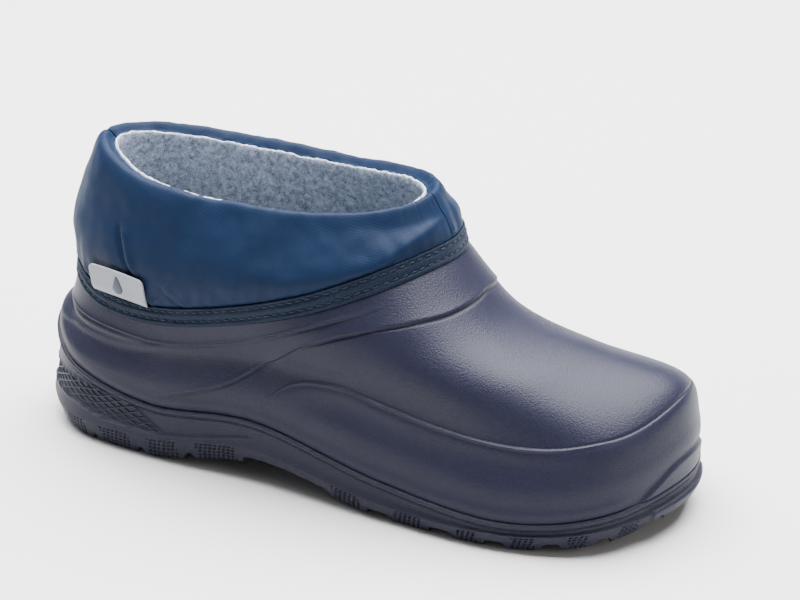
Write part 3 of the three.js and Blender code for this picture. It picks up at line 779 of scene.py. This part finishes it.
footbed_u = even_stations(FOOTBED_COLUMNS)
footbed_inset = SEAT + SEAT_GAP + UPPER_WALL + 1
footbed_low, footbed_high = (raised(FLOOR_Z, h) for h in (UPPER_WALL + GAP, UPPER_WALL + GAP + FELT_SOLE))
footbed_rings = [sole_ring(footbed_inset + 1, footbed_low, footbed_u),
                 sole_ring(footbed_inset, raised(footbed_low, 0.8), footbed_u),
                 sole_ring(footbed_inset, raised(footbed_high, -0.8), footbed_u)]
for step_in, drop in ((0.5, 0.2), (2, 0), (6, 0.5), (12, 1.0), (18, 1.2)):
    ring = sole_ring(footbed_inset + step_in, raised(footbed_high, -drop), footbed_u)
    ring[:, 2] += rough(ring, 4, 0.3, 4)
    footbed_rings.append(ring)
footbed = vessel("footbed_felt", footbed_rings)
footbed.data.materials.append(felt_cloth)
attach(footbed, "clog")
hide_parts("lining_sole")

# ---- padded collar -------------------------------------------------------------------------------
# Two panels of coated nylon over polyester fibre wadding, seamed at the back and the front, caught under
# the tape below and turned over a soft roll to the felt above. The cloth puckers where it is sewn.
BULGE_X = [-129.5, -122, -102, -70, -36, -3, 21.5, 33.5, 37]
BULGE_LATERAL = [0, -19, -33, -41.5, -44.5, -42.5, -33, -18.5, 0]
BULGE_MEDIAL = [0, 19, 32.5, 39.5, 42, 40, 31, 17.5, 0]
BULGE_Z = [93, 90, 86, 84, 88, 95, 103, 109.5, 111.5]
ROLL_TOP = (4.5, 3.2)
ROLL_SIDE = (9, -3)
NYLON_WALL = 0.9
LABEL_STATION = 2.36
# Folds that the sewn-in label pulls in the cloth: start and end as (ahead of the label, above the tape),
# then depth and width. Tucks where the roll turns over its seams: station, depth, width, reach.
FOLDS = [((17, 0), (-9, 34), 1.3, 1.5), ((22, 3), (34, 16), 0.5, 1.8), ((40, 0), (24, 12), 0.5, 1.6)]
SEAM_TUCKS = [(0, 1.1, 1.6, 12), (0.35, 0.4, 2, 6), (6.9, 0.35, 2.4, 4), (7.3, 0.5, 1.8, 5),
              (7.75, 0.4, 2.0, 4), (8.6, 0.6, 1.8, 6), (9.3, 0.4, 2.6, 5)]
LABEL_DENT = (18, 16)          # half-length and height of the hollow that the label presses in the cloth
COLLAR_COLUMNS = 700
COLLAR_ROWS = 90
SWELL_FRAMES = 14
SWELL_CAP = 1.6                # furthest that the pressure may move the cloth
WADDING_COLUMNS = 240
WADDING_INSET = 4.2


def collar_guides(u):
    """The rings that shape the collar's face, from the tape over the roll to the felt."""
    felt = felt_line(u)
    return [band_at(band_frame(u), BAND_HEIGHT + GAP, 0.1),
            station_ring(BULGE_X, BULGE_LATERAL, BULGE_MEDIAL, BULGE_Z, u),
            grow(felt, *ROLL_SIDE), grow(felt, *ROLL_TOP), felt]


def inflate(made, held):
    """Lets the wadding's pressure swell the cloth between its sewn edges, and keeps what it does."""
    start = np.array([vertex.co[:] for vertex in made.data.vertices])
    grip = made.vertex_groups.new(name="held")
    for index, weight in enumerate(np.clip(held, 0, 1).tolist()):
        grip.add([index], weight, "REPLACE")
    cloth = made.modifiers.new("pressure", "CLOTH")
    cloth.settings.quality = 4
    cloth.settings.mass = 0.2
    cloth.settings.tension_stiffness = 25
    cloth.settings.compression_stiffness = 6
    cloth.settings.bending_stiffness = 0.3
    cloth.settings.vertex_group_mass = "held"
    cloth.settings.use_pressure = True
    cloth.settings.uniform_pressure_force = 3
    cloth.settings.effector_weights.gravity = 0
    cloth.collision_settings.use_collision = False
    cloth.point_cache.frame_start, cloth.point_cache.frame_end = 1, SWELL_FRAMES
    for frame_number in range(1, SWELL_FRAMES + 1):
        bpy.context.scene.frame_set(frame_number)
    settled = made.evaluated_get(bpy.context.evaluated_depsgraph_get()).to_mesh()
    moved = np.array([vertex.co[:] for vertex in settled.vertices]) - start
    far = np.linalg.norm(moved, axis=1)[:, None]
    moved *= np.minimum(1, SWELL_CAP * MM / np.maximum(far, 1e-9))
    made.evaluated_get(bpy.context.evaluated_depsgraph_get()).to_mesh_clear()
    made.modifiers.remove(cloth)
    bpy.context.scene.frame_set(1)
    made.data.vertices.foreach_set("co", (start + moved).ravel())
    made.data.update()


def collar_panel(side, first):
    """One side of the collar, puckered at its sewn edges, swollen, and given its thickness."""
    u = even_stations(COLLAR_COLUMNS)
    guides = collar_guides(u)
    rows = np.array([climb(guides, row / COLLAR_ROWS) for row in range(COLLAR_ROWS + 1)])
    normals = outward(rows)
    climbed = np.cumsum(np.linalg.norm(np.diff(rows, axis=0, prepend=rows[:1]), axis=2), 0)
    run_along = np.cumsum(np.linalg.norm(np.roll(rows[20], -1, 0) - rows[20], axis=1))
    flat = rows.reshape(-1, 3)
    total = climbed[-1]
    # The cloth is softly uneven all over, and gathered into short upright puckers at its sewn edges.
    soft = rough(flat, 14, 0.9, 5) + rough(flat, 6, 0.35, 6)
    stretched = np.column_stack([np.tile(run_along, len(rows)), climbed.ravel() * 0.22, 0 * flat[:, 0]])
    gathers = rough(stretched, 4.5, 1.0, 7)
    near_tape = np.exp(-climbed / 7).ravel()
    near_felt = np.exp(-(total - climbed) / 5).ravel()
    free = ease(climbed, 0, 2.5).ravel() * ease(total - climbed, 0, 1.5).ravel()
    lift = free * (soft * 0.7 + gathers * (0.8 * near_tape + 0.6 * near_felt))
    lift += 1.0 * near_tape * free * np.tile(1 - ease(np.minimum(u, 2 * TOE - u), 5.5, 7.5), len(rows))
    lift = lift.reshape(climbed.shape)
    ahead = np.interp(u, fine, run) - np.interp(LABEL_STATION, fine, run)
    lift -= 1.5 * ease(LABEL_DENT[0] - np.abs(ahead), 0, 5) * ease(LABEL_DENT[1] - climbed, 0, 8)
    for (ahead_low, low), (ahead_high, high), depth, width in FOLDS:
        share = np.clip((climbed - low) / (high - low), 0, 1)
        off = ahead - (ahead_low + (ahead_high - ahead_low) * share)
        ends = ease(climbed, low - 3, low + 2) * (1 - ease(climbed, high - 6, high))
        lift -= ends * depth * (bead(off, 0, width) - 0.7 * bead(off, 2.4 * width, 1.6 * width))
    for station, depth, width, reach in SEAM_TUCKS:
        off = ahead - (np.interp(station, fine, run) - np.interp(LABEL_STATION, fine, run))
        off = (off + perimeter / 2) % perimeter - perimeter / 2
        lift -= depth * bead(off, 0, width) * np.exp(-np.abs(total - climbed - 5) / reach)
    rows = rows + normals * lift[:, :, None]
    held = (1 - ease(climbed, 1, 7)) + (1 - ease(total - climbed, 0.5, 4))
    part = [half([ring], first, first + COLLAR_COLUMNS // 2)[0] for ring in rows]
    count = len(part[0])
    column = np.arange(first, first + COLLAR_COLUMNS // 2 + 1) % COLLAR_COLUMNS
    uv = np.column_stack([np.tile(np.arange(count) * (run_along[-1] / COLLAR_COLUMNS), len(part)),
                          climbed[:, column].ravel()]) * MM
    made = piece(f"collar_{side}", np.concatenate(part), ring_faces([count] * len(part), around=False), uv)
    seam = np.minimum(np.arange(count), np.arange(count)[::-1])
    inflate(made, np.maximum(held[:, column], 1 - ease(seam, 1, 8)).ravel())
    skin = made.modifiers.new("cloth", "SOLIDIFY")
    skin.thickness = NYLON_WALL * MM
    skin.offset = -1
    pick(made)
    bpy.ops.object.modifier_apply(modifier="cloth")
    return made


def coated_nylon():
    """Polyurethane-backed nylon twill: a smooth dense cloth with a fine diagonal rib and a soft sheen.
    The real rib is about 0.5 mm and is drawn at 1 mm so that it shows."""
    made, tree, shader, coords = material("coated_nylon_twill", {
        "Roughness": 0.55, "IOR": 1.53, "Specular IOR Level": 0.08, "Sheen Weight": 0.03,
        "Sheen Roughness": 0.4})
    shader.inputs["Sheen Tint"].default_value = srgb("8fb0d8")
    turn = node(tree, "Mapping", {"Rotation": (0, 0, math.radians(28))}, {"Vector": coords.outputs["UV"]})
    rib = node(tree, "TexWave", {"Scale": math.tau / 20 / (1.0 * MM), "Distortion": 0.6, "Detail": 2,
                                 "Detail Scale": 1.5}, {"Vector": turn.outputs["Vector"]})
    cross = node(tree, "TexWave", {"bands_direction": "Y", "Scale": math.tau / 20 / (1.2 * MM),
                                   "Distortion": 0.6}, {"Vector": turn.outputs["Vector"]})
    weave = node(tree, "Math", {"operation": "MULTIPLY"}, {0: rib.outputs["Fac"], 1: cross.outputs["Fac"]})
    cloud = node(tree, "TexNoise", {"Scale": 35, "Detail": 3}, {"Vector": coords.outputs["Object"]})
    tint = node(tree, "Mix", {"data_type": "RGBA", 6: srgb("0c1a30"), 7: srgb("10213b")},
                {0: cloud.outputs["Fac"]})
    fleck = node(tree, "MapRange", {"To Min": 0.94, "To Max": 1.06}, {"Value": weave.outputs[0]})
    shade = node(tree, "Mix", {"data_type": "RGBA", "blend_type": "MULTIPLY", 0: 1.0},
                 {6: tint.outputs[2], 7: fleck.outputs[0]})
    bump = node(tree, "Bump", {"Strength": 1.0, "Distance": 0.035 * MM}, {"Height": weave.outputs[0]})
    finish_with(tree, shader, shade.outputs[2], bump)
    return made


nylon = coated_nylon()
for side, first in (("lateral", 0), ("medial", COLLAR_COLUMNS // 2)):
    panel = collar_panel(side, first)
    panel.data.materials.append(nylon)
    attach(panel, "clog")
    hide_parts(f"collar_panel_{side}")

# The wadding is a ring of bonded polyester fibre between the nylon and the felt: white and fluffy.
wad_u = even_stations(WADDING_COLUMNS)
wad_guides = collar_guides(wad_u)
wad_rows = np.array([climb(wad_guides, share) for share in (0.14, 0.22, 0.3, 0.4, 0.5, 0.58, 0.66)])
wad_rows = wad_rows - outward(wad_rows) * WADDING_INSET
wad_low = band_at(band_frame(wad_u), BAND_HEIGHT, UPPER_WALL + GAP)
wad_top = grow(felt_line(wad_u), 1.9, -4.5)
wad_rings = [*wad_rows, *(grow(wad_low * (1 - t) + wad_top * t, 1.4, 0) for t in (0.8, 0.45, 0.1))]
wadding = piece("collar_filling", np.concatenate(wad_rings),
                ring_faces([WADDING_COLUMNS] * len(wad_rings), along=True))
face_outwards(wadding)
fibre, tree, shader, coords = material("bonded_polyester_fibre", {"Roughness": 0.95, "Sheen Weight": 0.3})
tuft = node(tree, "TexNoise", {"Scale": 300, "Detail": 5}, {"Vector": coords.outputs["Object"]})
fluff = node(tree, "Mix", {"data_type": "RGBA", 6: srgb("d9d9d4"), 7: srgb("f2f2ee")},
             {0: tuft.outputs["Fac"]})
loft = node(tree, "Bump", {"Distance": 0.8 * MM}, {"Height": tuft.outputs["Fac"]})
finish_with(tree, shader, fluff.outputs[2], loft)
wadding.data.materials.append(fibre)
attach(wadding, "clog")
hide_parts("collar_wadding")

# ---- binding tape and stitches -------------------------------------------------------------------
# A woven tape 8 mm high, folded over the thin edge of the upper and sewn through twice. Its top edge is a
# crisp fold, its lower edge a plump lip, and the two rows of bonded thread pull it into shallow grooves.
STITCH_HEIGHTS = (2.5, 6.3)
STITCH_PITCH = 4.0
STITCH_LENGTH = 3.1
STITCH_DIP = 0.55              # how far the ends of a stitch go down into the cloth
THREAD_RADIUS = 0.4
GROOVE = (0.22, 0.8)           # depth and width of the pull of one stitch
TAPE_TOP = (6.7, 0.35)         # beside the label the tape is pressed down, above this height, by this share
TAPE_COLUMNS = 880
TAPE_SECTION = [                # height above the sewn edge, stand-out from it
    (0.6, -1.7), (0.25, -0.9), (0.1, 0.0), (0.25, 0.5), (0.7, 0.8), (1.2, 0.85), (1.7, 0.65), (2.1, 0.25),
    (2.5, 0.1), (2.9, 0.25), (3.3, 0.6), (3.9, 0.75), (4.6, 0.75), (5.3, 0.6), (5.9, 0.25), (6.3, 0.1),
    (6.7, 0.25), (7.1, 0.6), (7.5, 0.7), (7.9, 0.6), (8.1, 0.25), (8.0, -0.4), (7.7, -1.1), (7.4, -1.7),
]

tape_u = even_stations(TAPE_COLUMNS)
tape_band = band_frame(tape_u)
tape_steps = np.linalg.norm(np.roll(tape_band[0], -1, 0) - tape_band[0], axis=1)
tape_run = np.concatenate([[0], np.cumsum(tape_steps)])
stitches = round(tape_run[-1] / STITCH_PITCH)
phase = tape_run[:-1] / tape_run[-1] * stitches
pinch = 0.5 - 0.5 * np.cos(math.tau * phase)      # 1 in the middle of each stitch
from_label = np.abs(tape_run[:-1] - tape_run[np.searchsorted(tape_u, LABEL_STATION)])
beside_label = ease(LABEL_DENT[0] + 1 - from_label, 0, 3)
tape_rings = []
for height, out in TAPE_SECTION:
    near = max(bead(height, row, GROOVE[1]) for row in STITCH_HEIGHTS) if out > 0 else 0
    sway = rough(tape_band[0] + [0, 0, 7 * height], 9, 0.25, 8) if out > 0 else 0
    lowered = TAPE_TOP[1] * max(height - TAPE_TOP[0], 0) * beside_label
    tape_rings.append(band_at(tape_band, height + sway * (0.5 - 0.5 * beside_label) - lowered,
                              -(out - GROOVE[0] * near * pinch + sway)))
tape_uv = np.column_stack([np.tile(tape_run[:-1], len(TAPE_SECTION)),
                           np.repeat([h for h, _ in TAPE_SECTION], TAPE_COLUMNS)]) * MM
tape = piece("tape_binding", np.concatenate(tape_rings),
             ring_faces([TAPE_COLUMNS] * len(tape_rings), along=True), tape_uv, tape_run[-1] * MM)

# Woven polyester tape: matt, with fine ribs across it, a shade darker than the nylon.
woven_tape, tree, shader, coords = material("woven_polyester_tape", {
    "Roughness": 0.65, "Specular IOR Level": 0.15, "Sheen Weight": 0.04, "Sheen Roughness": 0.5})
shader.inputs["Sheen Tint"].default_value = srgb("8fb0d8")
ribs = node(tree, "TexWave", {"Scale": math.tau / 20 / (0.8 * MM), "Distortion": 1.2, "Detail": 2},
            {"Vector": coords.outputs["UV"]})
cloud = node(tree, "TexNoise", {"Scale": 120, "Detail": 3}, {"Vector": coords.outputs["Object"]})
tint = node(tree, "Mix", {"data_type": "RGBA", 6: srgb("0b1424"), 7: srgb("101c2f")},
            {0: cloud.outputs["Fac"]})
bump = node(tree, "Bump", {"Distance": 0.12 * MM}, {"Height": ribs.outputs["Fac"]})
finish_with(tree, shader, tint.outputs[2], bump)
tape.data.materials.append(woven_tape)
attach(tape, "clog")
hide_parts("binding_tape")

# One stitch is a short plump length of thread whose ends dip into the cloth.
bpy.ops.mesh.primitive_uv_sphere_add(segments=8, ring_count=8, radius=1, rotation=(0, math.pi / 2, 0))
pattern = bpy.context.active_object
bpy.ops.object.transform_apply(rotation=True)
stitch = np.array([v.co[:] for v in pattern.data.vertices])
stitch_faces = [list(face.vertices) for face in pattern.data.polygons]
bpy.data.objects.remove(pattern)
spread = np.sign(stitch[:, 0]) * np.abs(stitch[:, 0])**0.8 * STITCH_LENGTH / 2
girth = stitch[:, 1:] / np.maximum(np.linalg.norm(stitch[:, 1:], axis=1), 1e-6)[:, None]
girth = girth * (THREAD_RADIUS * (1 - np.abs(stitch[:, 0])**6))[:, None]

# Bonded polyester thread: dark, with small bright glints painted into its colour, over the fine relief of
# its filament.
thread, tree, shader, coords = material("bonded_polyester_thread", {
    "Roughness": 0.45, "Specular IOR Level": 0.25})
twist_and_painted_glints = node(tree, "TexNoise", {"Scale": 1400, "Detail": 1}, {"Vector": coords.outputs["Object"]})
# Painted highlight: the lighter tone mixed into the dark colour stands in for the thread's glints.
tint = node(tree, "Mix", {"data_type": "RGBA", 6: srgb("0a1220"), 7: srgb("1b2b44")},
            {0: twist_and_painted_glints.outputs["Fac"]})
bump = node(tree, "Bump", {"Distance": 0.15 * MM}, {"Height": twist_and_painted_glints.outputs["Fac"]})
finish_with(tree, shader, tint.outputs[2], bump)
for name, height in zip(("lower", "upper"), STITCH_HEIGHTS):
    line = band_at(tape_band, height, -0.25)
    points, faces = [], []
    for k in range(stitches):
        at = (k + 0.5) / stitches * tape_run[-1]
        reach = (at + spread) % tape_run[-1]
        spot = np.column_stack([np.interp(reach, tape_run, np.append(axis, axis[0])) for axis in line.T])
        index = np.searchsorted(tape_run, at) % TAPE_COLUMNS
        out, up = tape_band[1][index], tape_band[2][index]
        dip = STITCH_DIP * (2 * spread / STITCH_LENGTH)**4
        points.append(spot + out * (girth[:, 1] - dip)[:, None] + up * girth[:, 0][:, None])
        faces += [[i + k * len(stitch) for i in face] for face in stitch_faces]
    row = piece(f"stitches_{name}", np.concatenate(points), faces)
    face_outwards(row)
    row.data.materials.append(thread)
    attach(row, "clog")
    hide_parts(f"stitch_row_{name}")

# ---- label ---------------------------------------------------------------------------------------
# A small woven tab is caught by its lower edge behind the tape, and folds outwards on that edge. It is
# slightly cupped, with a heat-sealed light edge, and carries a plain raised drop in dark ink.
TAB_WIDTH, TAB_HEIGHT, TAB_WALL, TAB_CORNER, TAB_LEAN = 30, 12.5, 1.0, 2.5, 0.16
TAB_CUP = 0.7                  # how far the two ends of the tab stand forward of its middle
TAB_FOLD_SHARE = 0.3           # its thickness at the fold, as a share of the rest
DROP_RADIUS, DROP_HEIGHT = 2.6, 8

hinge = next(joint for joint in frame["joints"] if joint["name"] == "label_fold")
tab_along = Vector(hinge["axis"]).normalized()
tab_out = tab_along.cross(Vector((0, 0, 1))).normalized()
tab_up = tab_out.cross(tab_along) * math.cos(TAB_LEAN) + tab_out * math.sin(TAB_LEAN)
tab_frame = Matrix.Translation(hinge["pos_m"]) @ Matrix(
    (tab_along, tab_up, tab_along.cross(tab_up))).transposed().to_4x4()


def cup_and_place(made):
    """Thins a piece of the label towards its fold, cups it towards its free edge, and sets it in place."""
    for vertex in made.data.vertices:
        rise = vertex.co.y / (TAB_HEIGHT * MM)
        vertex.co.z *= TAB_FOLD_SHARE + (1 - TAB_FOLD_SHARE) * float(ease(rise, 0.02, 0.18))
        vertex.co.z += TAB_CUP * rise * MM * ((vertex.co.x / (TAB_WIDTH / 2 * MM))**2 - 0.4)
    made.data.transform(tab_frame)
    made.data.polygons.foreach_set("use_smooth", [True] * len(made.data.polygons))
    shade_by_angle(made, 50)


bpy.ops.mesh.primitive_cube_add(size=1, location=(0, TAB_HEIGHT / 2 * MM, TAB_WALL / 2 * MM),
                                scale=(TAB_WIDTH * MM, TAB_HEIGHT * MM, TAB_WALL * MM))
tab = bpy.context.active_object
tab.name = "label_woven"
bpy.ops.object.transform_apply(location=True, rotation=True, scale=True)
bpy.ops.object.mode_set(mode="EDIT")
bpy.ops.mesh.select_mode(type="EDGE")
bpy.ops.mesh.select_all(action="DESELECT")
bpy.ops.object.mode_set(mode="OBJECT")
for edge in tab.data.edges:
    ends = [tab.data.vertices[i].co for i in edge.vertices]
    edge.select = all(end.y > TAB_HEIGHT * 0.9 * MM for end in ends) and abs(ends[0].x - ends[1].x) < 1e-6
bpy.ops.object.mode_set(mode="EDIT")
bpy.ops.mesh.bevel(offset=TAB_CORNER * MM, segments=8, affect="EDGES")
bpy.ops.mesh.select_all(action="SELECT")
cuts = [((x, 0, 0), (1, 0, 0)) for x in np.linspace(-TAB_WIDTH / 2, TAB_WIDTH / 2, 16)[1:-1]]
cuts += [((0, y, 0), (0, 1, 0)) for y in (0.6, 1.4, 2.2, 4, 7, 9.5)]
for place, facing in cuts:
    bpy.ops.mesh.bisect(plane_co=[c * MM for c in place], plane_no=facing)
    bpy.ops.mesh.select_all(action="SELECT")
bpy.ops.object.mode_set(mode="OBJECT")
tab.modifiers.new("soft_edge", "BEVEL").width = 0.3 * MM
tab.modifiers["soft_edge"].segments = 3
bpy.ops.object.modifier_apply(modifier="soft_edge")
cup_and_place(tab)

# Woven polyester satin: pale grey with a fine thread grain and a low sheen.
satin, tree, shader, coords = material("woven_polyester_satin", {
    "Roughness": 0.55, "Specular IOR Level": 0.4, "Sheen Weight": 0.2, "Sheen Roughness": 0.4})
threads = node(tree, "TexNoise", {"Scale": 900, "Detail": 2}, {"Vector": coords.outputs["Object"]})
tint = node(tree, "Mix", {"data_type": "RGBA", 6: srgb("74777e"), 7: srgb("8b8d93")},
            {0: threads.outputs["Fac"]})
bump = node(tree, "Bump", {"Distance": 0.12 * MM}, {"Height": threads.outputs["Fac"]})
finish_with(tree, shader, tint.outputs[2], bump)
tab.data.materials.append(satin)
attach(tab, "label")
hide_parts("label_tab")

# The drop is cut from a disc: its upper part is drawn out to a point, then it is given a rounded edge.
bpy.ops.mesh.primitive_cylinder_add(vertices=48, radius=DROP_RADIUS * MM, depth=0.55 * MM,
                                    location=(0, (DROP_RADIUS + 2.2) * MM, (TAB_WALL + 0.02) * MM))
drop = bpy.context.active_object
drop.name = "label_drop"
bpy.ops.object.transform_apply(location=True, rotation=True, scale=True)
for vertex in drop.data.vertices:
    rise = vertex.co.y / MM - (DROP_RADIUS + 2.2)
    if rise > 0:
        share = rise / DROP_RADIUS
        vertex.co.y += (DROP_HEIGHT - 2 * DROP_RADIUS) * share**2 * MM
        vertex.co.x *= 1 - 0.35 * share
drop.modifiers.new("round_edge", "BEVEL").width = 0.15 * MM
drop.modifiers["round_edge"].segments = 2
bpy.ops.object.modifier_apply(modifier="round_edge")
cup_and_place(drop)

# Moulded rubber print: dark and smooth, with a soft shine and a faint mottle.
ink, tree, shader, coords = material("moulded_rubber_print", {"Roughness": 0.5, "Specular IOR Level": 0.4})
mottle = node(tree, "TexNoise", {"Scale": 700, "Detail": 2}, {"Vector": coords.outputs["Object"]})
tint = node(tree, "Mix", {"data_type": "RGBA", 6: srgb("1c2333"), 7: srgb("2a3347")},
            {0: mottle.outputs["Fac"]})
tree.links.new(tint.outputs[2], shader.inputs["Base Color"])
drop.data.materials.append(ink)
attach(drop, "label")
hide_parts("label_emblem")

# ---- floor, light and camera ---------------------------------------------------------------------
# The clog stands on a pale studio floor under a large soft light from above, with weak light from both
# sides. It is seen from the little-toe side, ahead of square and from above. The floor lies a hair below
# the tread, so that the two faces don't meet.
bpy.ops.mesh.primitive_plane_add(size=8, location=(0, 0, -0.3 * MM))
floor = bpy.context.active_object
floor.name = "studio_floor"
# Matt paper: pale, and without a highlight.
paper = material("matt_paper", {"Base Color": srgb("cccccc"), "Roughness": 0.9,
                                "Specular IOR Level": 0.1})[0]
floor.data.materials.append(paper)


def soft_light(name, place, aim, size, power, colour):
    bpy.ops.object.light_add(type="AREA", location=place)
    lamp = bpy.context.active_object
    lamp.name = name
    lamp.rotation_euler = (Vector(aim) - Vector(place)).to_track_quat("-Z", "Y").to_euler()
    lamp.data.shape = "RECTANGLE"
    lamp.data.size, lamp.data.size_y = size
    lamp.data.energy = power
    lamp.data.color = srgb(colour)[:3]


soft_light("overhead", (-0.12, 0.4, 1.5), (0, 0, 0.05), (1.9, 1.6), 245, "ffffff")
soft_light("toe_side", (1.5, -0.3, 0.7), (0.05, 0, 0.05), (0.8, 0.8), 6, "fff8f0")
soft_light("heel_side", (-1.2, -0.4, 1.2), (0, 0, 0.05), (0.8, 0.8), 5, "f4f8ff")
world = bpy.data.worlds.new("studio")
world.use_nodes = True
world.node_tree.nodes["Background"].inputs["Color"].default_value = srgb("ffffff")
world.node_tree.nodes["Background"].inputs["Strength"].default_value = 0.25
bpy.context.scene.world = world

AZIMUTH, ELEVATION, DISTANCE = math.radians(26), math.radians(24), 1.35
AIM = Vector((0.016, 0, 0.072))
back = Vector((math.sin(AZIMUTH) * math.cos(ELEVATION), -math.cos(AZIMUTH) * math.cos(ELEVATION),
               math.sin(ELEVATION)))
bpy.ops.object.camera_add(location=AIM + back * DISTANCE, rotation=back.to_track_quat("Z", "Y").to_euler())
camera = bpy.context.active_object
camera.data.sensor_width = 36
camera.data.lens = 152.55
bpy.context.scene.camera = camera
bpy.ops.object.select_all(action="DESELECT")
